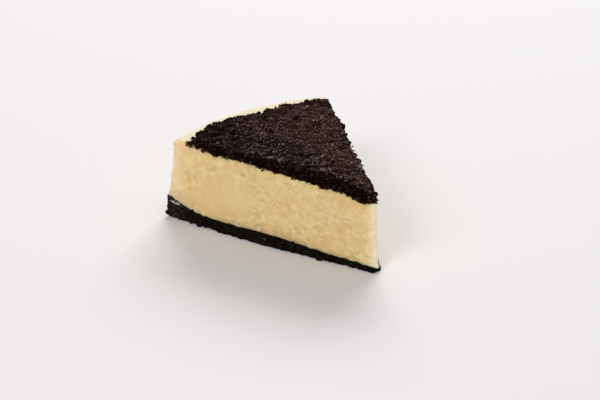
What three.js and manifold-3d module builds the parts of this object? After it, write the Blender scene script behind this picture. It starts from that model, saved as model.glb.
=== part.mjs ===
// A slice of cookies and cream cheesecake: about one eighth of a round cake, cut by hand.
// A thin base of pressed dark cookie crumbs climbs the tin's wall in a low lip and carries a pale
// filling. The filling's top sinks towards the cake's centre, under dark crumbs that stop short of
// the rim. Units are millimetres, +Z is up, and the slice's tip points towards -Y.
import * as THREE from "three";
import { mergeVertices } from "three/addons/utils/BufferGeometryUtils.js";
import Module from "manifold-3d";

const wasm = await Module();
wasm.setup();

// The whole cake and the cut. The model is built about the cake's axis, then moved along the slice,
// so that the origin is under its middle.
const cakeRadius = 115;
const wedgeAngle = 47.2;
const axisToOrigin = 57.2;
const clearance = 0.3; // air between two layers

// The base: a floor that is thinner towards the tip, and a lip that grows thin as it rises. The cut
// broke the crumbs away unevenly, so that the base stands out of it, and further at its foot.
const tipFloor = 2.1;
const outerFloor = 4.1;
const floorRise = { from: 12, over: 48 };
const lipHeight = 10.9;
const lipStart = 84;
const lipCurve = 2.2;
const baseOverhang = 0.7;
const footOverhang = 1;
const ledge = { out: 2.6, middle: 62, length: 34 }; // on the cut towards -X
const ledgeTop = { from: 1.5, over: 3.5 };
const baseCrags = { depth: 0.45, length: 2.3, height: 2.2 };
const baseCrumbRadii = [0.9, 1.5];
const baseCrumbSpacing = [5.5, 8.5];

// The filling: a wall that leans in, a round shoulder, a bare rim and a top that sinks inside it.
const rimHeight = 41.2;
const wallTopRadius = 110;
const wallLean = 3.2;
const wallFlare = 1.6;
const wallFoot = 114.6; // where the wall meets the lip
const shoulder = 2.2;
const rimStep = 2.6;
const rimStepFrom = 104;
const rimStepWidth = 18;
const bowlDepth = 4.6;
const bowlRadius = 96;
const bowlCurve = 1.45;
const cutFlare = 1; // how far the cut spreads at the filling's foot
const cutFlareHeight = 7.5;
const cutHollow = 0.17;
const cutWaves = { depth: 0.35, length: 17, height: 26 };
const cutDrags = { depth: 0.16, length: 5, height: 14 };

// The topping: a bed of fine crumbs with a lumpy top and a ragged edge, and larger crumbs on it.
const toppingRadius = 101.3;
const toppingHeight = 42.8;
const tipDrop = 5.6;
const tipDropLength = 38;
const edgeSwell = { out: 1.6, turn: 14, width: 8 }; // degrees from the middle, towards -X
const cutDrop = { depth: 0.7, width: 3 }; // crumbs have fallen from the topping's cut edges
const cornerDrop = { depth: 0.5, from: 74, over: 14, width: 12 }; // and from one outer corner
const bedPitch = 2.8;
const bedLumps = 0.55;
const bedInset = { near: 0.3, far: 1 };
const bedRaggedness = 0.4;
const toppingCrumbRadii = [0.9, 1.55];
const toppingCrumbSpacing = [3.2, 4.6];
const crumbsOnTop = 22;

const halfAngle = THREE.MathUtils.degToRad(wedgeAngle / 2);

// Geometry tools

const { lerp, smoothstep } = THREE.MathUtils;

// Repeatable random numbers from 0 to 1.
function seeded(seed) {
  let state = seed;
  return () => {
    state = (state * 1664525 + 1013904223) % 4294967296;
    return state / 4294967296;
  };
}

const between = (random, low, high) => lerp(low, high, random());

// Evenly spaced values from the first to the last.
const stops = (first, last, count) =>
  Array.from({ length: count }, (_, i) => lerp(first, last, i / (count - 1)));

// A fixed random value from -1 to 1 at each whole-number place, and smooth noise between them.
function latticeValue(i, j, k) {
  const wave = Math.sin(i * 127.1 + j * 311.7 + k * 74.7) * 43758.5453;
  return 2 * (wave - Math.floor(wave)) - 1;
}

function noise(x, y, z) {
  const [i, j, k] = [Math.floor(x), Math.floor(y), Math.floor(z)];
  const [u, v, w] = [smoothstep(x - i, 0, 1), smoothstep(y - j, 0, 1), smoothstep(z - k, 0, 1)];
  const row = (dj, dk) => lerp(latticeValue(i, j + dj, k + dk), latticeValue(i + 1, j + dj, k + dk), u);
  return lerp(lerp(row(0, 0), row(1, 0), v), lerp(row(0, 1), row(1, 1), v), w);
}

// The relief of a rough cut face. Each layer takes another slice of the noise.
const roughness = ({ depth, length, height }, s, z, layer) =>
  depth * noise(s / length, z / height, layer);

// Places on or near a cut, and round the cake. Side 1 is the cut towards -X, and -1 the other one.
// Along a cut, s is the distance from the cake's axis, and out is how far a point stands proud.
const onCut = (side, s, out, z) =>
  new THREE.Vector3(
    -side * (s * Math.sin(halfAngle) + out * Math.cos(halfAngle)),
    s * Math.cos(halfAngle) - out * Math.sin(halfAngle),
    z,
  );

const onRound = (r, angle, z) => new THREE.Vector3(-r * Math.sin(angle), r * Math.cos(angle), z);

// A geometry with positions alone, and with its shared corners merged.
function weld(geometry) {
  const bare = geometry.clone();
  bare.deleteAttribute("normal");
  bare.deleteAttribute("uv");
  return mergeVertices(bare, 1e-4);
}

// A closed geometry as a solid, without the triangles that merging has closed up.
function toSolid(geometry) {
  const { index, attributes } = weld(geometry);
  const kept = [];
  for (let i = 0; i < index.count; i += 3) {
    const [a, b, c] = index.array.slice(i, i + 3);
    if (a !== b && b !== c && a !== c) kept.push(a, b, c);
  }
  const vertProperties = attributes.position.array;
  return new wasm.Manifold(
    new wasm.Mesh({ numProp: 3, vertProperties, triVerts: new Uint32Array(kept) }),
  );
}

// A solid as a named mesh. A loose scrap that a cut has left beside the main body is dropped.
function toMesh(name, solid, material) {
  const [body] = solid.decompose().sort((a, b) => b.volume() - a.volume());
  const { vertProperties, triVerts } = body.getMesh();
  const geometry = new THREE.BufferGeometry();
  geometry.setAttribute("position", new THREE.BufferAttribute(vertProperties, 3));
  geometry.setIndex(new THREE.BufferAttribute(triVerts, 1));
  geometry.computeVertexNormals();
  const mesh = new THREE.Mesh(geometry, material);
  mesh.name = name;
  return mesh;
}

// A closed surface through a stack of rings with equal numbers of points, counter-clockwise from
// above and the lowest ring first. One point closes each end.
function loft(rings, lowestPoint, highestPoint) {
  const count = rings[0].length;
  const points = [lowestPoint, ...rings.flat(), highestPoint];
  const topRing = 1 + (rings.length - 1) * count;
  const triangles = [];
  for (let j = 0; j < count; j++) {
    const next = (j + 1) % count;
    triangles.push(0, 1 + next, 1 + j);
    triangles.push(topRing + j, topRing + next, points.length - 1);
    for (let lower = 1; lower < topRing; lower += count) {
      const upper = lower + count;
      triangles.push(lower + j, lower + next, upper + next);
      triangles.push(lower + j, upper + next, upper + j);
    }
  }
  const geometry = new THREE.BufferGeometry().setFromPoints(points);
  geometry.setIndex(triangles);
  return toSolid(geometry);
}

// A body of revolution about the cake's axis, from [radius, height] points that run outward along
// its underside and back along its top.
function revolve(profile) {
  const points = profile.map(([radius, height]) => new THREE.Vector2(radius, height));
  const segments = 96;
  return toSolid(new THREE.LatheGeometry(points, segments).rotateX(Math.PI / 2));
}

// The space between the knife's two cuts. A cut face stands out of its plane by relief(side, s, z).
function knifeWedge(relief, step, heights, tipRound) {
  const reach = cakeRadius + 14;
  const places = Math.round(reach / step);
  const ring = (z) => {
    const cutPoint = (side, s) => onCut(side, s, relief(side, s, z), z);
    const outward = stops(tipRound / Math.tan(halfAngle), reach, places);
    const tipOut = (relief(1, 0, z) + relief(-1, 0, z)) / 2;
    const tip = (tipRound - tipOut) / Math.sin(halfAngle) - tipRound;
    return [
      new THREE.Vector3(0, tip, z),
      ...outward.map((s) => cutPoint(-1, s)),
      ...outward.toReversed().map((s) => cutPoint(1, s)),
    ];
  };
  const middle = (z) => new THREE.Vector3(0, reach / 2, z);
  return loft(heights.map(ring), middle(heights[0]), middle(heights.at(-1)));
}

// A crumb: a lumpy grain with 20 faces, a little flatter than it is wide.
function crumb(random, radius, place) {
  const grain = weld(new THREE.IcosahedronGeometry(1, 0));
  const position = grain.attributes.position;
  const corner = new THREE.Vector3();
  for (let i = 0; i < position.count; i++) {
    corner.fromBufferAttribute(position, i).multiplyScalar(radius * between(random, 0.78, 1.22));
    position.setXYZ(i, corner.x, corner.y, corner.z * 0.85);
  }
  grain.rotateZ(2 * Math.PI * random());
  grain.rotateX(Math.PI * random());
  grain.translate(place.x, place.y, place.z);
  return toSolid(grain);
}

const fuse = (body, grains) => grains.reduce((joined, grain) => joined.add(grain), body);

// The heights of the layers at a distance r from the cake's axis

const baseTop = (r) =>
  lerp(tipFloor, outerFloor, smoothstep(r - floorRise.from, 0, floorRise.over)) +
  (lipHeight - outerFloor) * Math.max(0, (r - lipStart) / (cakeRadius - lipStart)) ** lipCurve;

const fillingTop = (r) =>
  rimHeight -
  rimStep * smoothstep(rimStepFrom - r, 0, rimStepWidth) -
  bowlDepth * Math.max(0, 1 - r / bowlRadius) ** bowlCurve;

function toppingTop(x, y) {
  const r = Math.hypot(x, y);
  const angle = Math.atan2(-x, y);
  const fromNearCut = Math.max(0, r * Math.sin(halfAngle - angle));
  const fromFarCut = Math.max(0, r * Math.sin(halfAngle + angle));
  const corner = smoothstep(r - cornerDrop.from, 0, cornerDrop.over);
  return (
    toppingHeight -
    tipDrop * Math.max(0, 1 - r / tipDropLength) ** 2 -
    cutDrop.depth * Math.exp(-Math.min(fromNearCut, fromFarCut) / cutDrop.width) -
    cornerDrop.depth * corner * Math.exp(-fromNearCut / cornerDrop.width)
  );
}

// Filling

function wallRadius(z) {
  const down = (rimHeight - z) / (rimHeight - lipHeight);
  return wallTopRadius + wallLean * down + wallFlare * down ** 4;
}

// The knife leaves long shallow waves, and the cut spreads a little towards its foot.
const fillingRelief = (side, s, z) =>
  cutFlare * Math.exp((tipFloor - z) / cutFlareHeight) -
  cutHollow +
  roughness(cutWaves, s, z, side * 5) +
  roughness(cutDrags, s, z, side * 9);

// The filling, or the room that it takes up once it is larger all over by grow.
function fillingBody(grow) {
  const underside = (r) => [r, baseTop(r) + clearance - grow];
  const top = (r) => [r, fillingTop(r) + grow];
  const shoulderHeight = rimHeight - shoulder;
  const shoulderPoint = (turn) => [
    wallRadius(shoulderHeight) - shoulder + (shoulder + grow) * Math.cos(turn),
    shoulderHeight + (shoulder + grow) * Math.sin(turn),
  ];
  const profile = [
    ...stops(0, lipStart, 6).map(underside),
    ...stops(lipStart + 5, wallFoot - 4, 5).map(underside),
    [wallRadius(baseTop(wallFoot)) + grow, underside(wallFoot)[1]],
    ...stops(15, 31, 4).map((z) => [wallRadius(z) + grow, z]),
    ...stops(0, 0.85, 4).map((part) => shoulderPoint((part * Math.PI) / 2)),
    ...stops(rimStepFrom, rimStepFrom - rimStepWidth, 5).map(top),
    ...stops(rimStepFrom - rimStepWidth - 10, 0, 8).map(top),
  ];
  const relief = (side, s, z) => fillingRelief(side, s, z) + grow;
  return revolve(profile).intersect(knifeWedge(relief, 4.2, stops(-2, 46, 10), 0.5));
}

// Base

function baseOut(side, s, z) {
  const bulge = side > 0 ? ledge.out * Math.exp(-(((s - ledge.middle) / ledge.length) ** 2)) : 0;
  return baseOverhang + (footOverhang + bulge) * (1 - smoothstep(z - ledgeTop.from, 0, ledgeTop.over));
}

const baseRelief = (side, s, z) =>
  baseOut(side, s, z) + roughness(baseCrags, s, z, side * 3) + 0.3 * noise(s / 7, 0.5, side * 7);

// Crumbs that broke out along the two cuts, round the foot of the wall and along the lip.
function baseCrumbs() {
  const random = seeded(11);
  const crumbs = [];
  for (const side of [1, -1]) {
    for (let s = 1; s < cakeRadius - 1; s += between(random, ...baseCrumbSpacing)) {
      const z = between(random, 0.4, Math.max(1, baseTop(s) - 1.2));
      const place = onCut(side, s, baseOut(side, s, z) - between(random, 0, 0.5), z);
      crumbs.push(crumb(random, between(random, ...baseCrumbRadii), place));
    }
  }
  const foot = { r: cakeRadius - 0.5, low: 0.3, high: 3 };
  const wall = { r: cakeRadius - 0.5, low: 4, high: 9 };
  const lip = { r: cakeRadius - 0.1, low: lipHeight - 1.8, high: lipHeight - 0.4 };
  for (const { r, low, high } of [foot, wall, lip]) {
    const turn = () => between(random, ...baseCrumbSpacing) / cakeRadius;
    for (let angle = -halfAngle; angle < halfAngle; angle += turn()) {
      const place = onRound(r, angle, between(random, low, high));
      crumbs.push(crumb(random, between(random, ...baseCrumbRadii), place));
    }
  }
  // Three larger lumps stand out at the foot of one cut, the last at its outer end.
  crumbs.push(crumb(random, 1.9, onCut(1, 28.5, baseOut(1, 28.5, 0) + 0.5, 0.9)));
  crumbs.push(crumb(random, 1.7, onCut(1, 94.8, baseOut(1, 94.8, 0) + 0.3, 1)));
  crumbs.push(crumb(random, 1.2, onCut(1, 114, baseOut(1, 114, 2) + 0.3, 2.2)));
  return crumbs;
}

function baseBody() {
  // The filling's own shape then presses the hollow into the top, which is made a little too high.
  const high = (r) => [r, baseTop(r) + 0.8];
  const pressed = revolve([
    [0, 0],
    [cakeRadius - 0.9, 0],
    [cakeRadius, 1],
    [cakeRadius, lipHeight - 0.4],
    ...stops(cakeRadius - 0.5, lipStart, 7).map(high),
    ...stops(lipStart - 20, 0, 3).map(high),
  ]);
  const heights = [...stops(-1, 5, 5), ...stops(7.5, 14, 3)];
  const cut = pressed.intersect(knifeWedge(baseRelief, 3.3, heights, 2));
  const below = new THREE.BoxGeometry(3 * cakeRadius, 3 * cakeRadius, 10).translate(0, 0, -5);
  return fuse(cut, baseCrumbs()).subtract(fillingBody(clearance)).subtract(toSolid(below));
}

// Topping

// The topping's radius. Its crumbs were strewn a little further out near one corner.
function toppingEdge(angle) {
  const fromSwell = THREE.MathUtils.radToDeg(angle) - edgeSwell.turn;
  const swell = edgeSwell.out * Math.exp(-((fromSwell / edgeSwell.width) ** 2));
  return toppingRadius + swell + 1.2 * noise(angle * 11, 2.5, 0) + noise(angle * 34, 6.5, 0);
}

// The bed's outline: two cuts, a little inside the filling's, and a ragged round edge.
function bedOutline() {
  const inset = (side) => (side > 0 ? bedInset.near : bedInset.far);
  const out = (side, s) => bedRaggedness * noise(s / 2.2, side * 4, 1) - inset(side);
  const outward = stops(2.3, toppingRadius - 2, 44);
  const round = stops(-0.99 * halfAngle, 0.99 * halfAngle, 40);
  const corners = [
    new THREE.Vector3(0, 1.6, 0),
    ...outward.map((s) => onCut(-1, s, out(-1, s), 0)),
    ...round.map((angle) => onRound(toppingEdge(angle), angle, 0)),
    ...outward.toReversed().map((s) => onCut(1, s, out(1, s), 0)),
  ];
  return new THREE.Shape(corners.map(({ x, y }) => new THREE.Vector2(x, y)));
}

// A slab over the whole slice, from just inside the filling's top to the lumpy top of the crumbs.
function bedSlab() {
  const [columns, rows] = [37, 41];
  const block = new THREE.BoxGeometry(columns * bedPitch, rows * bedPitch, 1, columns, rows, 1);
  const slab = weld(block.translate(0, toppingRadius / 2, 0));
  const position = slab.attributes.position;
  for (let i = 0; i < position.count; i++) {
    const [x, y] = [position.getX(i), position.getY(i)];
    const r = Math.hypot(x, y);
    if (position.getZ(i) < 0) {
      position.setZ(i, fillingTop(r) - 1);
      continue;
    }
    const drift = (k) => 0.3 * bedPitch * latticeValue(x, y, k);
    const lump = bedLumps * latticeValue(x, y, 3) + 0.3 * noise(x / 9, y / 9, 4);
    position.setXYZ(i, x + drift(1), y + drift(2), toppingTop(x, y) + lump);
  }
  return toSolid(slab);
}

function toppingCrumbs() {
  const random = seeded(3);
  const crumbs = [];
  const spacing = () => between(random, ...toppingCrumbSpacing);
  // A crumb at a place on the slice, at a share of the way up through the topping there.
  const add = (place, share) => {
    const low = fillingTop(Math.hypot(place.x, place.y)) + 0.7;
    place.z = lerp(low, toppingTop(place.x, place.y), share);
    crumbs.push(crumb(random, between(random, ...toppingCrumbRadii), place));
  };
  for (const side of [1, -1]) {
    const inset = side > 0 ? bedInset.near : bedInset.far;
    for (let s = 3; s < toppingRadius - 1; s += spacing()) {
      add(onCut(side, s, between(random, -0.7, 0.2) - inset, 0), random());
    }
  }
  for (let angle = -halfAngle; angle < halfAngle; angle += spacing() / toppingRadius) {
    const r = toppingEdge(angle) + between(random, -0.8, 0.6);
    add(onRound(r, angle * 0.98, 0), between(random, 0, 0.8));
  }
  for (let i = 0; i < crumbsOnTop; i++) {
    const r = toppingRadius * Math.sqrt(between(random, 0.01, 0.94));
    add(onRound(r, halfAngle * between(random, -0.95, 0.95), 0), 1);
  }
  return crumbs;
}

function toppingBody() {
  const column = new THREE.ExtrudeGeometry(bedOutline(), { depth: 20, bevelEnabled: false });
  const bed = bedSlab().intersect(toSolid(column.translate(0, 0, 30)));
  return fuse(bed, toppingCrumbs()).subtract(fillingBody(clearance));
}

// The slice

const creamFilling = new THREE.MeshStandardMaterial({ color: 0xeed3a0, roughness: 0.55 });
const pressedCrumbs = new THREE.MeshStandardMaterial({ color: 0x1d2120, roughness: 0.8 });
const cookieCrumbs = new THREE.MeshStandardMaterial({ color: 0x322524, roughness: 0.85 });

const slice = new THREE.Group();
slice.add(toMesh("base", baseBody(), pressedCrumbs));
slice.add(toMesh("filling", fillingBody(0), creamFilling));
slice.add(toMesh("topping", toppingBody(), cookieCrumbs));
slice.position.y = -axisToOrigin;

export default slice;
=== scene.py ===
import math

import bpy
import numpy as np
from mathutils import Matrix, Vector, noise


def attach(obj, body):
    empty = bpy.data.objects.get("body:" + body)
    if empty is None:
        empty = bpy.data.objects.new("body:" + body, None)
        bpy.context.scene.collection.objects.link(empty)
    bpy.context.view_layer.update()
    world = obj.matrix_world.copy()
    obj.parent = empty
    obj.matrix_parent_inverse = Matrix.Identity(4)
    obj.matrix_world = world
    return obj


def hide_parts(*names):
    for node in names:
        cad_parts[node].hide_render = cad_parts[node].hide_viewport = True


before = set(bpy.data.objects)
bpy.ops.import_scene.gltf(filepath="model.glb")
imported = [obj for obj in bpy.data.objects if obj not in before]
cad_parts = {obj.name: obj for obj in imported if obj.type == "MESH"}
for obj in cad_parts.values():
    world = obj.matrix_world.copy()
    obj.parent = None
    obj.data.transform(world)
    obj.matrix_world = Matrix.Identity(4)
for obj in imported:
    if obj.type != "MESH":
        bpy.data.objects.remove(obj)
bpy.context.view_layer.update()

# Base: cookie crumbs and butter, pressed into the tin by hand and up its wall in a low lip, then
# chilled. It is near-black, dense and a little damp. The knife broke it away unevenly, so that it
# stands out of the cuts, most of all at the foot of the shown one.
MM = 0.001
LAYER_STEP = 17.3
PRESSED_DARK = (0.0024, 0.0016, 0.0004, 1)

# Sizes are in mm, and distances along the slice start at the cake's axis. The tips are blunt: each
# one's half is half its width.
AXIS_TO_ORIGIN = 57.2
HALF_ANGLE = math.radians(23.6)
CAKE_RADIUS = 115
TIP_FLOOR = 2.1
OUTER_FLOOR = 4.1
LIP_START = 84
LIP_HEIGHT = 10.9
LIP_CURVE = 2.2
BASE_TIP_HALF = 2
BASE_OUT = 0.7
FOOT_OUT = 1
FOOT_HEIGHT = 1.5
FOOT_FADE = 3.5
FOOT_BEVEL = 0.9
LEDGE_OUT = 2.6
LEDGE_MIDDLE = 62
LEDGE_LENGTH = 34
BASE_VOXEL = 0.5


# From 0 at low to 1 a width further on, and smooth at both ends.
def smooth_rise(value, low, width):
    part = np.clip((value - low) / width, 0, 1)
    return part * part * (3 - 2 * part)


# A smooth hill, 1 at its middle. A higher power gives it a flatter top and steeper sides.
def hill(value, middle, width, power=2):
    return np.exp(-(((value - middle) / width) ** power))


# The top of the base, in mm, at a distance r from the cake's axis.
def base_top(r):
    cove = np.maximum(0, (r - LIP_START) / (CAKE_RADIUS - LIP_START)) ** LIP_CURVE
    floor_height = TIP_FLOOR + (OUTER_FLOOR - TIP_FLOOR) * smooth_rise(r, low=12, width=48)
    return floor_height + (LIP_HEIGHT - OUTER_FLOOR) * cove


# How far the base stands out of a cut, in mm, with shown 1 on the shown cut and 0 on the far one.
def base_out(shown, s, z):
    ledge = LEDGE_OUT * hill(s, LEDGE_MIDDLE, LEDGE_LENGTH) * shown
    return BASE_OUT + (FOOT_OUT + ledge) * (1 - smooth_rise(z, FOOT_HEIGHT, FOOT_FADE))


# A place on the slice, in mm: r from the cake's axis, turn from -1 at the far cut to 1 at the shown
# one, and how far it stands out of the cuts.
def on_slice(r, turn, out, z):
    x = -r * np.sin(turn * HALF_ANGLE) - turn * out * math.cos(HALF_ANGLE)
    y = r * np.cos(turn * HALF_ANGLE) - out * math.sin(HALF_ANGLE)
    return np.stack([x, y - AXIS_TO_ORIGIN, z + 0 * x], -1)


# The squares round a block of cells, bent into shape by place(u, v, w), with u, v and w from 0 to 1.
def block(name, cells, place):
    steps = [np.arange(count + 1) for count in cells]
    i, j, k = np.meshgrid(*steps, indexing="ij")
    number = (i * (cells[1] + 1) + j) * (cells[2] + 1) + k
    faces = []
    for axis in range(3):
        for end in (0, -1):
            side = np.take(number, end, axis)
            square = np.stack([side[:-1, :-1], side[1:, :-1], side[1:, 1:], side[:-1, 1:]], -1)
            square = square.reshape(-1, 4)
            faces.append(square[:, ::-1] if (end == 0) != (axis == 1) else square)
    used, faces = np.unique(np.concatenate(faces), return_inverse=True)
    u, v, w = (grid.ravel()[used] / count for grid, count in zip((i, j, k), cells))
    mesh = bpy.data.meshes.new(name)
    mesh.from_pydata((place(u, v, w) * MM).tolist(), [], faces.reshape(-1, 4).tolist())
    piece = bpy.data.objects.new(name, mesh)
    bpy.context.scene.collection.objects.link(piece)
    return piece


# Covers a block with squares of one size and softens its edges, so that fine lumps can be pressed in.
def even_squares(piece, size):
    remesh = piece.modifiers.new("even squares", "REMESH")
    remesh.mode = "VOXEL"
    remesh.voxel_size = size * MM
    soften = piece.modifiers.new("soften", "SMOOTH")
    soften.iterations = 2
    soften.factor = 0.4
    solved = piece.evaluated_get(bpy.context.evaluated_depsgraph_get())
    mesh = bpy.data.meshes.new_from_object(solved)
    piece.modifiers.clear()
    piece.data = mesh
    mesh.shade_smooth()


def points_of(piece):
    points = np.empty(len(piece.data.vertices) * 3, np.float32)
    piece.data.vertices.foreach_get("co", points)
    return points.reshape(-1, 3) / MM


def normals_of(piece):
    normals = np.empty(len(piece.data.vertices) * 3, np.float32)
    piece.data.vertex_normals.foreach_get("vector", normals)
    return normals.reshape(-1, 3)


def put_points(piece, points):
    piece.data.vertices.foreach_set("co", (points * MM).astype(np.float32).ravel())
    piece.data.update()


# A mask or a tone for each point of a piece, which its finish reads by name.
def paint(piece, name, values):
    mask = piece.data.attributes.new(name, "FLOAT", "POINT")
    mask.data.foreach_set("value", np.asarray(values, np.float32))


# Smooth lumps from -1 to 1, and domes from 0 to 1 with creases between them, of a size in mm. Each
# layer of them lies in another part of the noise.
def lumps(points, size, layer):
    cells = (points / size + LAYER_STEP * layer).tolist()
    return np.array([noise.noise(point) for point in cells])


def domes(points, size, layer):
    cells = (points / size + LAYER_STEP * layer).tolist()
    return np.array([max(0.0, 1 - noise.voronoi(point)[0][0] ** 2) for point in cells])


# The base as a block, with a small bevel round the foot of its outer end.
def base_place(u, v, w):
    z = w * base_top(u * CAKE_RADIUS)
    out = base_out(v, u * CAKE_RADIUS, z)
    tip = (BASE_TIP_HALF - base_out(0, 0, z)) / math.tan(HALF_ANGLE)
    outer = CAKE_RADIUS - FOOT_BEVEL * np.clip(1 - z, 0, 1)
    return on_slice(tip + u * (outer - tip), 2 * v - 1, out, z)


base = block("base_pressed_crumbs", (80, 48, 10), base_place)
even_squares(base, BASE_VOXEL)
base_points = points_of(base)
base_normals = normals_of(base)

# Lumps of crumbs, the round backs of single ones and the pits where some fell out. They are weaker
# above the foot, and on the flat top and underside.
crags = 0.4 * lumps(base_points, size=4.5, layer=11) + 0.3 * lumps(base_points, size=1.9, layer=12)
crags += 0.35 * (domes(base_points, size=1.5, layer=13) - 0.6)
crags -= 0.4 * smooth_rise(lumps(base_points, size=1.7, layer=14), low=0.25, width=0.3)
crags *= 1 - 0.5 * smooth_rise(base_points[:, 2], low=0.8, width=1)
upright = np.abs(base_normals[:, 2]) < 0.9
base_points += base_normals * (crags * (0.3 + 0.7 * upright))[:, None]
base_points[:, 2] = np.maximum(base_points[:, 2], 0)
put_points(base, base_points)


# The crumbs are near-black, with some random tone, and painted greyer at the outer end: painted light.
def base_tone_and_end_light(points):
    along = points[:, 1] + AXIS_TO_ORIGIN
    return 0.15 + 0.4 * smooth_rise(along, low=88, width=14) + 0.09 * lumps(points, size=5, layer=34)


paint(base, "tone", base_tone_and_end_light(base_points))


# Short forms for the nodes of a finish. Inputs are given by name or number, as values or as links.
def add_node(tree, kind, inputs=(), **settings):
    node = tree.nodes.new(kind)
    for name, value in settings.items():
        setattr(node, name, value)
    for name, value in dict(inputs).items():
        if isinstance(value, bpy.types.NodeSocket):
            tree.links.new(value, node.inputs[name])
        else:
            node.inputs[name].default_value = value
    return node


def mixed(tree, share, low, high):
    inputs = {0: share, 6: low, 7: high}
    return add_node(tree, "ShaderNodeMix", inputs, data_type="RGBA").outputs[2]


def ranged(tree, value, low, high, to_low=0.0, to_high=1.0):
    inputs = {"Value": value, "From Min": low, "From Max": high, "To Min": to_low, "To Max": to_high}
    return add_node(tree, "ShaderNodeMapRange", inputs).outputs[0]


def times(tree, value, factor):
    return add_node(tree, "ShaderNodeMath", {0: value, 1: factor}, operation="MULTIPLY").outputs[0]


def plus(tree, value, other):
    return add_node(tree, "ShaderNodeMath", {0: value, 1: other}, operation="ADD").outputs[0]


def painted(tree, name):
    return add_node(tree, "ShaderNodeAttribute", attribute_name=name).outputs["Fac"]


def new_finish(name):
    finish = bpy.data.materials.new(name)
    finish.use_nodes = True
    return finish, finish.node_tree, finish.node_tree.nodes["Principled BSDF"]


# The grain that all cookie crumbs share: dark and light specks, and small round grains in relief with
# creases between them. A tone over 1 makes a crumb pale grey, a painted glint.
crumb_grain = bpy.data.node_groups.new("crumb_grain", "ShaderNodeTree")
for socket_name, kind, value in (
    ("Grain Size", "NodeSocketFloat", 900),
    ("Dark", "NodeSocketColor", (0.004, 0.004, 0.004, 1)),
    ("Light", "NodeSocketColor", (0.05, 0.04, 0.04, 1)),
    ("Spark", "NodeSocketColor", (0.3, 0.28, 0.27, 1)),
    ("Tone", "NodeSocketFloat", 0.5),
):
    socket = crumb_grain.interface.new_socket(socket_name, in_out="INPUT", socket_type=kind)
    socket.default_value = value
for socket_name, kind in (
    ("Color", "NodeSocketColor"),
    ("Height", "NodeSocketFloat"),
    ("Roughness", "NodeSocketFloat"),
):
    crumb_grain.interface.new_socket(socket_name, in_out="OUTPUT", socket_type=kind)
given = add_node(crumb_grain, "NodeGroupInput").outputs
spot = add_node(crumb_grain, "ShaderNodeTexCoord").outputs["Object"]
grain_inputs = {"Vector": spot, "Scale": given["Grain Size"]}
fine = add_node(crumb_grain, "ShaderNodeTexNoise", grain_inputs | {"Detail": 5}).outputs[0]
creases = add_node(crumb_grain, "ShaderNodeTexVoronoi", grain_inputs).outputs["Distance"]
shade = times(crumb_grain, ranged(crumb_grain, fine, 0.35, 0.7), given["Tone"])
shade = times(crumb_grain, shade, 2.2)
color = mixed(crumb_grain, shade, given["Dark"], given["Light"])
painted_glint = ranged(crumb_grain, given["Tone"], 1, 2)
color = mixed(crumb_grain, painted_glint, color, given["Spark"])
height = plus(crumb_grain, times(crumb_grain, creases, -0.7), fine)
rough = ranged(crumb_grain, fine, 0.3, 0.7, to_low=0.75, to_high=0.5)
add_node(crumb_grain, "NodeGroupOutput", {"Color": color, "Height": height, "Roughness": rough})


# A finish of that grain, with its relief in metres.
def crumb_finish(name, grain_size, dark, light, shine, relief):
    finish, tree, shader = new_finish(name)
    shader.inputs["Specular IOR Level"].default_value = shine
    grain = add_node(tree, "ShaderNodeGroup", node_tree=crumb_grain)
    grain.inputs["Grain Size"].default_value = grain_size
    grain.inputs["Dark"].default_value = dark
    grain.inputs["Light"].default_value = light
    tree.links.new(painted(tree, "tone"), grain.inputs["Tone"])
    tree.links.new(grain.outputs["Color"], shader.inputs["Base Color"])
    tree.links.new(grain.outputs["Roughness"], shader.inputs["Roughness"])
    inputs = {"Height": grain.outputs["Height"], "Distance": relief, "Strength": 0.7}
    bump = add_node(tree, "ShaderNodeBump", inputs)
    tree.links.new(bump.outputs[0], shader.inputs["Normal"])
    return finish


pressed_finish = crumb_finish(
    "pressed_crumbs",
    grain_size=800,
    dark=PRESSED_DARK,
    light=(0.036, 0.034, 0.027, 1),
    shine=0.02,
    relief=0.3 * MM,
)
base.data.materials.append(pressed_finish)
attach(base, "root")
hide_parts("base")

# Filling: baked cheesecake, a pale golden cream, close-grained and a little translucent. The knife
# left both cuts curdy and lumpy, but for a patch that it smeared flat. The tin left the round wall
# smooth, and the top sinks inside a bare rim.
RIM_HEIGHT = 41.2
RIM_INSIDE = 104
SINK_WIDTH = 18
SINK_DEPTH = 2.6
TIP_SLOPE_LENGTH = 96
TIP_SLOPE_DROP = 4.6
TIP_SLOPE_CURVE = 1.45
WALL_TOP_RADIUS = 110
WALL_FOOT_RADIUS = 114.6
WALL_LEAN = 3.2
WALL_FLARE = 1.6
SHOULDER = 2.2
FILLING_TIP_HALF = 0.5
CUT_FLARE_HEIGHT = 7.5
CUT_INSET = 0.17
FILLING_VOXEL = 0.52


# The top sinks inside the rim, and slopes down to the tip.
def filling_top(r):
    sink = SINK_DEPTH * smooth_rise(-r, -RIM_INSIDE, SINK_WIDTH)
    tip_slope = TIP_SLOPE_DROP * np.maximum(0, 1 - r / TIP_SLOPE_LENGTH) ** TIP_SLOPE_CURVE
    return RIM_HEIGHT - sink - tip_slope


# The wall leans in towards the rim, and flares out at its foot, towards the lip.
def wall_radius(z):
    down = (RIM_HEIGHT - z) / (RIM_HEIGHT - LIP_HEIGHT)
    return WALL_TOP_RADIUS + WALL_LEAN * down + WALL_FLARE * np.abs(down) ** 4


# The cuts flare out towards the base, and stay a little apart at the tip.
def filling_place(u, v, w):
    turn = 2 * v - 1
    low = base_top(u * WALL_FOOT_RADIUS)
    z = low + w * (filling_top(u * WALL_TOP_RADIUS) - low)
    out = np.exp((TIP_FLOOR - z) / CUT_FLARE_HEIGHT) - CUT_INSET
    tip = (FILLING_TIP_HALF - out) / math.tan(HALF_ANGLE)
    return on_slice(tip + u * (wall_radius(z) - tip), turn, out, z)


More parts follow.
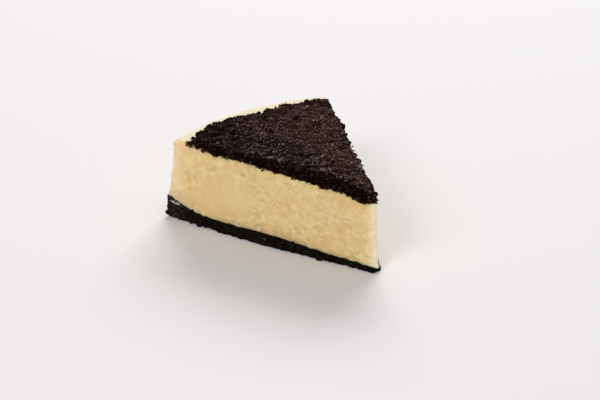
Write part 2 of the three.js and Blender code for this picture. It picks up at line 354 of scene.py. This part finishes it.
# How far each point faces out of the shown cut and the far one, from 0 to 1, and how far along the
# cuts it is, in mm.
def facing_cuts(points, normals):
    across = math.cos(HALF_ANGLE)
    along = math.sin(HALF_ANGLE)
    shown = smooth_rise(-across * normals[:, 0] - along * normals[:, 1], low=0.35, width=0.4)
    far = smooth_rise(across * normals[:, 0] - along * normals[:, 1], low=0.35, width=0.4)
    s = np.abs(points[:, 0]) * along + (points[:, 1] + AXIS_TO_ORIGIN) * across
    return shown, far, s


filling = block("filling_cream", (110, 48, 40), filling_place)
even_squares(filling, FILLING_VOXEL)
cream_points = points_of(filling)

# The round shoulder between the wall and the rim.
axis_x = cream_points[:, 0]
axis_y = cream_points[:, 1] + AXIS_TO_ORIGIN
radius = np.hypot(axis_x, axis_y)
from_wall = SHOULDER - (wall_radius(cream_points[:, 2]) - radius)
from_top = SHOULDER - (RIM_HEIGHT - cream_points[:, 2])
corner = np.hypot(from_wall, from_top)
pull = np.where((from_wall > 0) & (from_top > 0) & (corner > SHOULDER), 1 - SHOULDER / corner, 0)
cream_points[:, 0] -= axis_x / np.maximum(radius, 1) * from_wall * pull
cream_points[:, 1] -= axis_y / np.maximum(radius, 1) * from_wall * pull
cream_points[:, 2] -= from_top * pull
put_points(filling, cream_points)

# The cuts are curdy all over, but for the patch low on the outer half of the shown one, and a few
# smeared places on the far one.
cream_normals = normals_of(filling)
shown_cut, far_cut, along_cut = facing_cuts(cream_points, cream_normals)
any_cut = np.maximum(shown_cut, far_cut)
heights = cream_points[:, 2]
from_patch = np.hypot((along_cut - 84) / 20, (heights - 16) / 10)
from_patch = from_patch + 0.5 * lumps(cream_points, size=7, layer=25)
smeared = smooth_rise(-from_patch, low=-1.1, width=0.4) * shown_cut
smeared += 0.7 * smooth_rise(lumps(cream_points, size=15, layer=2), low=0.12, width=0.3) * far_cut
curd = any_cut * (1 - 0.85 * np.clip(smeared, 0, 1))
curd *= 0.6 + 0.4 * smooth_rise(lumps(cream_points, size=11, layer=1), low=-0.3, width=0.6)
paint(filling, "curd", curd)

# The curd's relief: waves of the whole cut, lumps, curd grains and the pits between them. The wall and
# the top have only faint waves.
relief = 0.30 * lumps(cream_points, size=17, layer=3) * any_cut
relief += 0.6 * curd * lumps(cream_points * (1, 1, 0.75), size=3.4, layer=4)
relief += 0.55 * curd * (domes(cream_points, size=2.1, layer=5) - 0.5)
relief -= 0.6 * curd * smooth_rise(lumps(cream_points, size=2.3, layer=6), low=0.28, width=0.25)
waves = 0.22 * lumps(cream_points, size=12, layer=7) + 0.05 * lumps(cream_points, size=2.2, layer=8)
relief += (1 - any_cut) * waves
put_points(filling, cream_points + cream_normals * relief[:, None])

# Under the topping, the knife pressed a few dark crumbs into the cut and dragged them down.
below_topping = filling_top(along_cut) - heights
reach = 2.6 + 1.8 * lumps(cream_points * (1, 1, 0.2), size=3.5, layer=9)
reach = reach + 2 * smooth_rise(along_cut, low=84, width=6)
drags = smooth_rise(lumps(cream_points * (1, 1, 0.35), size=2.4, layer=10), low=0.05, width=0.35)
paint(filling, "drag", any_cut * drags * (1 - smooth_rise(below_topping, reach * 0.4, width=2.5)))

# The top dried to a skin in the oven. Its colour is also painted paler and greyer: a painted sheen.
# The tip and the outer corner are painted paler: painted light where the lamp behind shines through
# the thin cream. Just over the base the cream is tan, partly its own deeper tone and partly painted
# shade next to the dark base.
paint(filling, "baked_skin_and_sheen", smooth_rise(cream_normals[:, 2], low=0.5, width=0.3))
from_axis = np.hypot(cream_points[:, 0], cream_points[:, 1] + AXIS_TO_ORIGIN)
outer_corner_backlight = smooth_rise(from_axis, low=104, width=5) * smooth_rise(heights, low=4, width=6)
tip_backlight = 1 - smooth_rise(along_cut, low=1, width=6.5)
paint(filling, "painted_backlight", np.maximum(tip_backlight, 0.4 * outer_corner_backlight))
above_base = heights - base_top(along_cut)
low_tan_and_shade = 1 - smooth_rise(above_base, low=0.3, width=4 + 0.05 * along_cut)
paint(filling, "tan", shown_cut * low_tan_and_shade * smooth_rise(along_cut, low=3, width=9))

# A milky smear on the upper half of the shown cut, near the tip.
smear = hill(along_cut, 26, 9) * hill(heights, 24.5, 4)
paint(filling, "milky", shown_cut * smear * (0.7 + 0.6 * lumps(cream_points, size=3, layer=35)))

# Amber specks, where the cream browned: one clear speck, two smears near the tip and some faint ones.
# Each has its place along and up the cut, its length and height, and its strength.
random = np.random.default_rng(3)
specks = [(71.2, 31.5, 1.3, 1.1, 1), (9, 34.2, 1.8, 0.6, 0.9), (13, 33.4, 1.2, 0.5, 0.6)]
for speck in range(12):
    specks.append((random.uniform(12, 66), random.uniform(6, 30), 0.6, 0.6, random.uniform(0.25, 0.5)))
amber = np.zeros(len(cream_points))
for s, z, length, height, strength in specks:
    amber += strength * hill(along_cut, s, length) * hill(heights, z, height) * shown_cut
paint(filling, "amber", amber)

cream, tree, shader = new_finish("baked_cream")
spot = add_node(tree, "ShaderNodeTexCoord").outputs["Object"]
curd_mask = painted(tree, "curd")
clouds = add_node(tree, "ShaderNodeTexNoise", {"Vector": spot, "Scale": 70, "Detail": 3}).outputs[0]
veins = add_node(tree, "ShaderNodeTexNoise", {"Vector": spot, "Scale": 190, "Detail": 3}).outputs[0]
flecks = add_node(tree, "ShaderNodeTexNoise", {"Vector": spot, "Scale": 330, "Detail": 3}).outputs[0]
grains = add_node(tree, "ShaderNodeTexVoronoi", {"Vector": spot, "Scale": 600}).outputs["Distance"]

# Clouds of two golds, with rosy veins, pale curd grains, and painted shade in the hollows between
# the grains. They are strongest on the curd: the last two numbers are how strong each is off the curd
# and on it.
cloud_share = ranged(tree, clouds, 0.35, 0.65)
body = mixed(tree, cloud_share, (0.80, 0.565, 0.25, 1), (0.86, 0.66, 0.30, 1))
for pattern, low, high, colour, off_curd, on_curd in (
    (veins, 0.5, 0.68, (0.82, 0.61, 0.33, 1), 0.15, 0.7),
    (flecks, 0.5, 0.68, (0.94, 0.80, 0.46, 1), 0.1, 0.65),
    (flecks, 0.46, 0.32, (0.66, 0.43, 0.15, 1), 0.05, 0.4),
):
    strength = ranged(tree, curd_mask, 0, 1, off_curd, on_curd)
    body = mixed(tree, times(tree, ranged(tree, pattern, low, high), strength), body, colour)

# The painted places, each with its strength and colour.
for mask_name, strength, colour in (
    ("painted_backlight", 0.75, (0.98, 0.90, 0.66, 1)),
    ("tan", 0.4, (0.66, 0.44, 0.18, 1)),
    ("milky", 0.6, (0.82, 0.64, 0.42, 1)),
    ("baked_skin_and_sheen", 0.8, (0.72, 0.67, 0.50, 1)),
    ("drag", 0.55, (0.42, 0.30, 0.23, 1)),
    ("amber", 0.8, (0.62, 0.36, 0.06, 1)),
):
    body = mixed(tree, times(tree, painted(tree, mask_name), strength), body, colour)
tree.links.new(body, shader.inputs["Base Color"])

# The curd's fine grain, faint where it is smeared. The baked skin is duller than the cuts.
grain_height = plus(tree, times(tree, grains, -0.6), flecks)
grain_depth = times(tree, grain_height, ranged(tree, curd_mask, 0, 1, to_low=0.15, to_high=1))
bump = add_node(tree, "ShaderNodeBump", {"Height": grain_depth, "Distance": 0.6 * MM, "Strength": 0.7})
tree.links.new(bump.outputs[0], shader.inputs["Normal"])
cut_roughness = ranged(tree, clouds, 0.3, 0.7, to_low=0.40, to_high=0.58)
dulled = plus(tree, cut_roughness, times(tree, painted(tree, "baked_skin_and_sheen"), 0.4))
tree.links.new(dulled, shader.inputs["Roughness"])
shader.inputs["Subsurface Weight"].default_value = 0.6
shader.inputs["Subsurface Radius"].default_value = (1, 0.62, 0.3)
shader.inputs["Subsurface Scale"].default_value = 3.5 * MM
filling.data.materials.append(cream)
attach(filling, "root")
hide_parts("filling")

# Base crumbs: bits of the same crumbs and butter that the knife broke out along the base's cuts, and
# that came loose round its foot and lip. Each is a small rough lump that sticks to the base.
CUT_CRUMBS = 260
LIP_CRUMBS = 260
LIP_TOP_CRUMBS = 60
TIP_CRUMBS = 24

# The corners and sides of two plain round grains, a rough one of 20 sides and a finer one of 80.
CRUMB_FORMS = {}
for sides, level in ((20, 1), (80, 2)):
    bpy.ops.mesh.primitive_ico_sphere_add(subdivisions=level, radius=1)
    grain = bpy.context.active_object
    grain_mesh = grain.data
    CRUMB_FORMS[sides] = (
        np.array([corner.co[:] for corner in grain_mesh.vertices]),
        np.array([face.vertices[:] for face in grain_mesh.polygons]),
    )
    bpy.data.objects.remove(grain)
    bpy.data.meshes.remove(grain_mesh)


# One mesh of many crumbs, each with its own lumps, tilt and tone. Widths are in mm.
def crumb_pile(name, places, widths, tones, sides, random):
    corners, faces = CRUMB_FORMS[sides]
    count = len(places)
    grains = corners[None] * random.uniform(0.74, 1.26, (count, len(corners), 1))
    grains *= random.uniform(0.6, 1.1, (count, 1, 3))
    turns = random.normal(size=(count, 4))
    turns /= np.linalg.norm(turns, axis=1, keepdims=True)
    a, b, c, d = turns.T
    spin = np.array([
        [1 - 2 * (c * c + d * d), 2 * (b * c - a * d), 2 * (b * d + a * c)],
        [2 * (b * c + a * d), 1 - 2 * (b * b + d * d), 2 * (c * d - a * b)],
        [2 * (b * d - a * c), 2 * (c * d + a * b), 1 - 2 * (b * b + c * c)],
    ])
    grains = np.einsum("ijn,nkj->nki", spin, grains) * (widths / 2)[:, None, None]
    grains += places[:, None, :]
    grains[:, :, 2] = np.maximum(grains[:, :, 2], 0)
    numbers = faces[None] + (np.arange(count) * len(corners))[:, None, None]
    mesh = bpy.data.meshes.new(name)
    mesh.from_pydata((grains.reshape(-1, 3) * MM).tolist(), [], numbers.reshape(-1, 3).tolist())
    mesh.update()
    if sides == 80:
        mesh.shade_smooth()
    pile = bpy.data.objects.new(name, mesh)
    bpy.context.scene.collection.objects.link(pile)
    paint(pile, "tone", np.repeat(tones, len(corners)))
    return pile


random = np.random.default_rng(5)
places = []

# All over both cuts, a little lower at the tip.
for turn in (1, -1):
    s = CAKE_RADIUS * random.uniform(0.01, 0.995, CUT_CRUMBS)
    z = base_top(s) * random.uniform(0.05, 0.95 - 0.35 * np.exp(-s / 6), CUT_CRUMBS)
    out = base_out(turn > 0, s, z) - random.uniform(0, 0.5, CUT_CRUMBS)
    places.append(on_slice(s, turn, out, z))

# Round the lip's wall, along its top edge, and along the base's top edge near the tip.
turn = random.uniform(-1, 1, LIP_CRUMBS)
z = random.uniform(0.3, LIP_HEIGHT - 0.5, LIP_CRUMBS)
places.append(on_slice(CAKE_RADIUS - 0.6 + 0 * z, turn, 0, z))
turn = random.uniform(-1, 1, LIP_TOP_CRUMBS)
z = LIP_HEIGHT - random.uniform(0, 0.7, LIP_TOP_CRUMBS)
places.append(on_slice(CAKE_RADIUS - 0.4 + 0 * turn, turn, 0, z))
s = random.uniform(9, 38, TIP_CRUMBS)
places.append(on_slice(s, 1, 0.9, base_top(s) - random.uniform(-0.1, 0.5, TIP_CRUMBS)))

# Three larger lumps low on the shown cut, and a crumb about half-way along it that is painted pale, as
# a glint.
s = np.array([28.5, 94.8, 114, 57.8])
z = np.array([0.9, 1, 2.2, 2.9])
places.append(on_slice(s, 1, base_out(1, s, z) + 0.3, z))
places = np.concatenate(places)
widths = random.uniform(0.9, 2.3, len(places))
widths[-4:] = 4, 3.6, 2.4, 1.4
tones = base_tone_and_end_light(places) * random.uniform(0.2, 1.9, len(places))
tones[-1] = 1.1
base_crumbs = crumb_pile("base_crumbs", places, widths, tones, 80, random)
base_crumb_finish = crumb_finish(
    "base_crumb_skin",
    grain_size=900,
    dark=PRESSED_DARK,
    light=(0.040, 0.036, 0.028, 1),
    shine=0.02,
    relief=0.3 * MM,
)
base_crumbs.data.materials.append(base_crumb_finish)
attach(base_crumbs, "root")

# Topping bed: fine dark cookie crumbs, strewn on the filling while it was soft, spread with a spoon and
# patted down. The bed is lumpy and stops short of the rim in a ragged edge.
TOPPING_RADIUS = 101.3
TOPPING_HEIGHT = 42.8
TIP_FALL = 5.6
TIP_FALL_LENGTH = 38
STROKE = math.radians(-32)
FURROWS = (42.4, 51, 59.6, 70.7, 83)
FURROW_DEPTH = 1.8
BED_START = 1.8
BED_SUNK = 0.4
BED_VOXEL = 0.55


# The bed's level before its lumps. It falls off towards both cuts, and most of all towards the tip.
def topping_top(r, turn):
    from_shown = np.maximum(0, r * np.sin((1 - turn) * HALF_ANGLE))
    from_far = np.maximum(0, r * np.sin((1 + turn) * HALF_ANGLE))
    fallen = 0.7 * np.exp(-np.minimum(from_shown, from_far) / 3)
    fallen += 0.5 * smooth_rise(r, low=74, width=14) * np.exp(-from_shown / 12)
    return TOPPING_HEIGHT - TIP_FALL * np.maximum(0, 1 - r / TIP_FALL_LENGTH) ** 2 - fallen


# Where the bed stops short of the rim: in swells, with one notch near the shown cut, and ragged.
def topping_edge(turn):
    ring = np.stack([turn * 6, 0 * turn + 0.4, 0 * turn], -1)
    swell = 1.2 * hill(turn, 0.6, 0.35) - 2 * hill(turn, -0.08, 0.2)
    notch = 3 * hill(turn, 0.94, 0.035)
    ragged = 1.2 * lumps(ring, size=1.5, layer=15) + 1.6 * lumps(ring, size=0.4, layer=16)
    raggeder = 1.2 + smooth_rise(turn, low=0.6, width=0.2)
    ragged = ragged + raggeder * lumps(ring, size=0.17, layer=33)
    return TOPPING_RADIUS + swell + ragged - notch


# Faint furrows round the cake, on the half by the far cut, left by the spoon that spread the crumbs.
# Each has a low ridge on its inner side.
def furrows(r, turn):
    r = r + 1.1 * lumps(on_slice(r, turn, 0, 0), size=13, layer=32)
    depth = 0 * r
    for ring in FURROWS:
        depth = depth + hill(r - ring, 0, 1.1) - 0.5 * hill(r - ring, -2.6, 1.2)
    return depth * smooth_rise(-turn, low=-0.2, width=0.4)


# The clumps in which the damp crumbs stick together, from about -1 in the gaps to 1 on the clumps.
# They are drawn out along the strokes in which the crumbs were spread.
def clumps(r, turn):
    flat = on_slice(r, turn, 0, 0)
    along = flat[..., 0] * math.cos(STROKE) + flat[..., 1] * math.sin(STROKE)
    across = flat[..., 1] * math.cos(STROKE) - flat[..., 0] * math.sin(STROKE)
    drawn_out = np.stack([0.42 * along, across, 0 * r], -1)
    return lumps(drawn_out, size=2.1, layer=29) + 0.7 * lumps(drawn_out, size=1.1, layer=30)


# The bed's top with its lumps. It is roughest by the round edge.
def bed_top(r, turn):
    flat = on_slice(r, turn, 0, 0)
    near_arc = smooth_rise(r, low=84, width=12)
    clump_height = 1.1 + 0.5 * smooth_rise(r, low=66, width=20)
    height = topping_top(r, turn) + 0.5 * lumps(flat, size=7, layer=17)
    height = height + clump_height * clumps(r, turn)
    height = height + 1.2 * near_arc * lumps(flat, size=3.2, layer=26)
    return height - FURROW_DEPTH * furrows(r, turn)


# How far the crumbs stand out of the far cut, in mm, where more of them stuck together in two clumps,
# and how far they lie back between the two.
def far_clumps(r, turn):
    out = 1.3 * hill(r, 73.5, 5.5, power=4) + 0.9 * hill(r, 13, 4.5)
    return (out - 0.9 * hill(r, 40, 15)) * smooth_rise(-turn, low=0.6, width=0.4)


def bed_place(u, v, w):
    turn = 2 * v - 1
    r = BED_START + u * (topping_edge(turn) - BED_START)
    low = filling_top(r) - BED_SUNK
    out = -0.2 + (0.3 * turn - 0.4) * smooth_rise(r, low=4, width=12)
    out = out + 0.9 * lumps(on_slice(r, turn, 0, 0), size=2.6, layer=19) + far_clumps(r, turn)
    return on_slice(r, turn, out, low + w * (bed_top(r, turn) - low))


bed = block("topping_bed", (90, 60, 6), bed_place)
even_squares(bed, BED_VOXEL)
bed_points = points_of(bed)
bed_normals = normals_of(bed)
rough_top = 0.4 * lumps(bed_points, size=1.9, layer=20)
rough_top += 0.45 * (domes(bed_points, size=1.6, layer=21) - 0.5)
rough_top -= 0.5 * smooth_rise(lumps(bed_points, size=1.5, layer=22), low=0.2, width=0.3)
put_points(bed, bed_points + bed_normals * rough_top[:, None])

# The bed is painted near-black at its sides and paler on its top, most of all by the far cut: painted
# shade on the sides, painted light on the top.
bed_turn = np.arctan2(-bed_points[:, 0], bed_points[:, 1] + AXIS_TO_ORIGIN) / HALF_ANGLE
bed_lit_top = smooth_rise(bed_normals[:, 2], low=0.2, width=0.6) * smooth_rise(-bed_turn, low=-0.6, width=1)
paint(bed, "tone", 0.05 + 0.3 * bed_lit_top)
bed_finish = crumb_finish(
    "topping_bed",
    grain_size=1000,
    dark=(0.0048, 0.0013, 0.0006, 1),
    light=(0.078, 0.040, 0.032, 1),
    shine=0.01,
    relief=0.4 * MM,
)
bed.data.materials.append(bed_finish)
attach(bed, "root")
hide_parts("topping")

# Topping crumbs: the same cookies, crushed by hand. Fine grains lie all over the bed, and larger bits
# lie on it and hang over its edges. They hold by the filling's dampness and their own weight.
FROM_CUTS = 1.1
CORNER_START = 97.5
CORNER_END = 103
GLINT_SHARE = 0.006
GLINT_TONE = 1.6
random = np.random.default_rng(8)


# Places strewn evenly over the bed, a little inside its cuts.
def strewn_on_top(count):
    turn = random.uniform(-1, 1, count)
    r = topping_edge(turn) * np.sqrt(random.uniform(0.002, 1, count))
    return r, turn * np.maximum(0, 1 - FROM_CUTS / (r * HALF_ANGLE))


# Places along the bed's edges. Overhang is how far they may stand out, in mm, and lowest is where
# they start on the cuts, from 0 at the bed's foot to 1 at its top.
def along_edges(shown, far, round_edge, tip, corner, overhang, lowest):
    places = []

    # The two cuts. The foot hangs down unevenly, and a little more by the tip.
    for turn, count in ((1, shown), (-1, far)):
        s = TOPPING_RADIUS * random.uniform(0.03, 0.99, count)
        hanging = np.maximum(0, lumps(on_slice(s, turn, 0, 0), size=3.2, layer=31))
        foot = filling_top(s) - 0.2 - 2.4 * hanging - 1.1 * hill(s, 8, 5)
        z = foot + random.uniform(lowest, 1, count) * (bed_top(s, turn + 0 * s) - foot)
        inset = 0 if turn > 0 else 0.7 + 0.7 * smooth_rise(s, low=4, width=12) - far_clumps(s, -1)
        places.append(on_slice(s, turn, random.uniform(-0.55, overhang, count) - inset, z))

    # The tip, and the clump that hangs over the shown cut beside it.
    s = random.uniform(0.2, 5, tip)
    z = filling_top(s) + random.uniform(0.1, 1.2, tip) * (topping_top(s, 0 * s) - filling_top(s))
    places.append(on_slice(s, random.uniform(-1, 1, tip), 0, z))
    s = random.uniform(5, 13, tip)
    z = filling_top(s) - random.uniform(0, 1.8, tip) * np.sin((s - 4) / 10 * math.pi)
    places.append(on_slice(s, 1, random.uniform(-0.1, 0.4, tip), z))

    # The corner between the shown cut and the round edge, and the round edge.
    s = random.uniform(CORNER_START, CORNER_END, corner)
    z = filling_top(s) - 1.7 + random.uniform(0, 1, corner) * (1.8 + 0.3 * (CORNER_END - s))
    places.append(on_slice(s, 1, random.uniform(-0.8, 0.5, corner), z))
    turn = random.uniform(-0.99, 0.99, round_edge)
    share = random.uniform(0, 1, round_edge)
    r = topping_edge(turn) + random.uniform(-0.8, overhang, round_edge)
    z = filling_top(r) + 0.1 + share * 0.8 * (topping_top(r, turn) - filling_top(r))
    places.append(on_slice(r, turn, 0, z))
    return np.concatenate(places)


# How pale the crumbs on the top are. Painted shade darkens them along the edges, most of all by the
# round edge and at the corner of the shown cut, in the gaps between clumps and in the furrows, and
# painted light makes them palest on the clumps. Their tone also varies at random.
def tone_with_painted_shade(r, turn, places):
    from_cuts = r * np.sin((1 - np.abs(turn)) * HALF_ANGLE)
    from_corner = np.hypot(r * np.sin((1 - turn) * HALF_ANGLE) / 14, (r - 98) / 18)
    from_edge = TOPPING_RADIUS - r + 7 * lumps(places, size=7, layer=23)
    shaded_tone = smooth_rise(from_edge, low=1, width=19)
    shaded_tone *= smooth_rise(from_cuts + 1.8 * lumps(places, size=3, layer=24), low=-1, width=2)
    shaded_tone *= 1 - 0.8 * hill(from_corner, 0, 1)
    shaded_tone *= 1 - 0.25 * smooth_rise(r, low=76, width=12)
    shaded_tone = (0.18 + 0.82 * shaded_tone) * (1 + 0.4 * lumps(places, size=9, layer=27))
    even = smooth_rise(-turn, low=-0.5, width=1)
    clump_light_gap_shade = 1 + (2.4 - 0.8 * even) * (smooth_rise(clumps(r, turn), low=-0.5, width=1.0) - 0.6)
    shaded_tone *= clump_light_gap_shade * (1.42 - 0.19 * even) * (1 - 1.5 * furrows(r, turn))
    return shaded_tone


# Crumbs on the top and along the edges. Lift is how far the ones on the top lie over the bed, and
# widths are the smallest and the largest, all in mm. A few on the top are painted pale, as glints.
def strewn_crumbs(name, on_top, at_edges, shaded_edge_tone, lift, widths, sides):
    r, turn = strewn_on_top(on_top)
    top_places = on_slice(r, turn, 0, bed_top(r, turn) + random.uniform(*lift, on_top))
    edge_places = along_edges(**at_edges)
    shaded_tone = tone_with_painted_shade(r, turn, top_places)
    tones = np.minimum(shaded_tone * (0.38 + 0.6 * random.uniform(0, 1, on_top)), 0.95)
    tones[random.uniform(0, 1, on_top) < GLINT_SHARE] = GLINT_TONE
    # The crumbs along the edges get a dark tone, painted shade on the sides turned away from the lamp
    # behind, with a little painted light near the tip.
    near_tip = smooth_rise(-edge_places[:, 1], low=52, width=4)
    shaded_edge_tones = random.uniform(0, 1, len(edge_places)) ** (6 - 4.5 * near_tip)
    shaded_edge_tones *= shaded_edge_tone + 0.15 * near_tip
    places = np.concatenate([top_places, edge_places])
    smaller = np.where(np.arange(len(places)) < on_top, 2, 1.4)
    size_share = random.uniform(0, 1, len(places)) ** smaller
    smallest, largest = widths
    crumb_widths = smallest + (largest - smallest) * size_share
    return crumb_pile(name, places, crumb_widths, np.concatenate([tones, shaded_edge_tones]), sides, random)


fine_crumbs = strewn_crumbs(
    "topping_fine_crumbs",
    on_top=7090,
    at_edges=dict(shown=1200, far=800, round_edge=600, tip=80, corner=110, overhang=0.4, lowest=0),
    shaded_edge_tone=0.55,
    lift=(-0.35, 0.12),
    widths=(0.45, 1.1),
    sides=20,
)
coarse_crumbs = strewn_crumbs(
    "topping_coarse_crumbs",
    on_top=150,
    at_edges=dict(shown=150, far=190, round_edge=210, tip=6, corner=0, overhang=0.7, lowest=0.2),
    shaded_edge_tone=0.2,
    lift=(-1.1, -0.3),
    widths=(1.2, 3.2),
    sides=80,
)
loose_finish = crumb_finish(
    "cookie_crumbs",
    grain_size=1100,
    dark=(0.0085, 0.0023, 0.0009, 1),
    light=(0.22, 0.136, 0.122, 1),
    shine=0.01,
    relief=0.3 * MM,
)
for crumbs in (fine_crumbs, coarse_crumbs):
    crumbs.data.materials.append(loose_finish)
    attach(crumbs, "root")

# Fallen crumbs: a few cookie crumbs that the knife and the serving left on the bare rim and, just
# under the topping, on the two cuts, where they stick to the cream.
FALLEN_ON_CUT = 7
FALLEN_ON_RIM = 8
FALLEN_TONE = 0.3
random = np.random.default_rng(13)
places = []
for turn in (1, -1):
    s = TOPPING_RADIUS * random.uniform(0.05, 1, FALLEN_ON_CUT)
    z = filling_top(s) - 0.2 - 0.9 * random.uniform(0, 1, FALLEN_ON_CUT)
    places.append(on_slice(s, turn, 0.1 + 0 * s, z))
turn = random.uniform(-0.95, 0.95, FALLEN_ON_RIM)
r = topping_edge(turn) + 1 + 2 * random.uniform(0, 1, FALLEN_ON_RIM) ** 2
places.append(on_slice(r, turn, 0, filling_top(r) + 0.15))
places = np.concatenate(places)
widths = random.uniform(0.45, 0.95, len(places))
fallen_crumbs = crumb_pile("fallen_crumbs", places, widths, FALLEN_TONE + 0 * widths, 20, random)
fallen_crumbs.data.materials.append(loose_finish)
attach(fallen_crumbs, "root")

# Cream sliver: a thin flake of the filling's cream that the knife pulled down and left on the cut of
# the lip. It is a greyer white than the filling.
SLIVER_START = 107.4
SLIVER_LENGTH = 5.2
SLIVER_WIDTH = 1.5
SLIVER_HEIGHT = 7.2
SLIVER_CLIMB = 1.1


def sliver_place(u, v, w):
    s = SLIVER_START + SLIVER_LENGTH * u
    wavy = 1 + 0.3 * lumps(np.stack([s, s, s], -1), size=1.3, layer=28)
    width = SLIVER_WIDTH * np.sin(math.pi * (0.06 + 0.88 * u)) * wavy
    out = 0.4 + w * (0.5 + 0.5 * np.sin(math.pi * v))
    return on_slice(s, 1, out, SLIVER_HEIGHT + SLIVER_CLIMB * u + (v - 0.5) * width)


cream_sliver = block("cream_sliver", (18, 6, 2), sliver_place)
cream_sliver.data.shade_smooth()
sliver_cream, tree, shader = new_finish("greyer_cream")
shader.inputs["Roughness"].default_value = 0.5
spot = add_node(tree, "ShaderNodeTexCoord").outputs["Object"]
mottle = add_node(tree, "ShaderNodeTexNoise", {"Vector": spot, "Scale": 900, "Detail": 2})
mottled = ranged(tree, mottle.outputs[0], 0.35, 0.65)
body = mixed(tree, mottled, (0.26, 0.235, 0.19, 1), (0.42, 0.39, 0.33, 1))
tree.links.new(body, shader.inputs["Base Color"])
cream_sliver.data.materials.append(sliver_cream)
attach(cream_sliver, "root")

# View: the slice is seen from above one of its cuts, with its tip to the right. The lens is a short
# telephoto, and the camera leans a little to one side.
LENS = 102.7
SENSOR_WIDTH = 36
CAMERA_PLACE = Vector((-0.4168, -0.5925, 0.3760))
CAMERA_AZIMUTH = math.radians(-34.99)
CAMERA_ELEVATION = math.radians(26.59)
CAMERA_ROLL = math.radians(-0.61)

camera = bpy.data.objects.new("camera", bpy.data.cameras.new("camera"))
bpy.context.scene.collection.objects.link(camera)
bpy.context.scene.camera = camera
camera.data.lens = LENS
camera.data.sensor_width = SENSOR_WIDTH
camera.location = CAMERA_PLACE
looking = Vector((
    -math.sin(CAMERA_AZIMUTH) * math.cos(CAMERA_ELEVATION),
    math.cos(CAMERA_AZIMUTH) * math.cos(CAMERA_ELEVATION),
    -math.sin(CAMERA_ELEVATION),
))
level = looking.to_track_quat("-Z", "Y").to_matrix()
camera.rotation_euler = (level @ Matrix.Rotation(CAMERA_ROLL, 3, "Z")).to_euler()

# Studio: a plain pale floor in a white room. A wide soft lamp, as broad as a window, stands behind the
# slice, so that its top and edges are lit. A weaker one hangs to the left of the camera, so that the
# shaded cut shows its lumps.
FLOOR_REACH = 3
ROOM_STRENGTH = 0.48

floor_mesh = bpy.data.meshes.new("floor")
floor_corners = [(x * FLOOR_REACH, y * FLOOR_REACH, 0) for x, y in ((-1, -1), (1, -1), (1, 1), (-1, 1))]
floor_mesh.from_pydata(floor_corners, [], [(0, 1, 2, 3)])
floor = bpy.data.objects.new("floor", floor_mesh)
bpy.context.scene.collection.objects.link(floor)
floor_paint, tree, shader = new_finish("floor_paint")
shader.inputs["Base Color"].default_value = (0.72, 0.71, 0.71, 1)
shader.inputs["Roughness"].default_value = 0.7
floor_mesh.materials.append(floor_paint)

room = bpy.data.worlds.new("room")
room.use_nodes = True
room.node_tree.nodes["Background"].inputs["Color"].default_value = (1, 0.98, 1, 1)
room.node_tree.nodes["Background"].inputs["Strength"].default_value = ROOM_STRENGTH
bpy.context.scene.world = room
bpy.context.scene.view_settings.view_transform = "Standard"


# A soft square-cornered lamp that shines at the slice. Sizes are in metres and power in watts.
def add_lamp(name, place, width, height, power, colour):
    lamp = bpy.data.objects.new(name, bpy.data.lights.new(name, "AREA"))
    bpy.context.scene.collection.objects.link(lamp)
    lamp.data.shape = "RECTANGLE"
    lamp.data.size = width
    lamp.data.size_y = height
    lamp.data.energy = power
    lamp.data.color = colour
    lamp.location = place
    lamp.rotation_euler = (-Vector(place)).to_track_quat("-Z", "Y").to_euler()


add_lamp("window_lamp", (2.1, 2.25, 1.9), width=3, height=1.4, power=116, colour=(1, 0.98, 0.97))
add_lamp("fill_lamp", (-1.4, -0.5, 1.3), width=0.8, height=0.8, power=14, colour=(1, 0.98, 0.96))
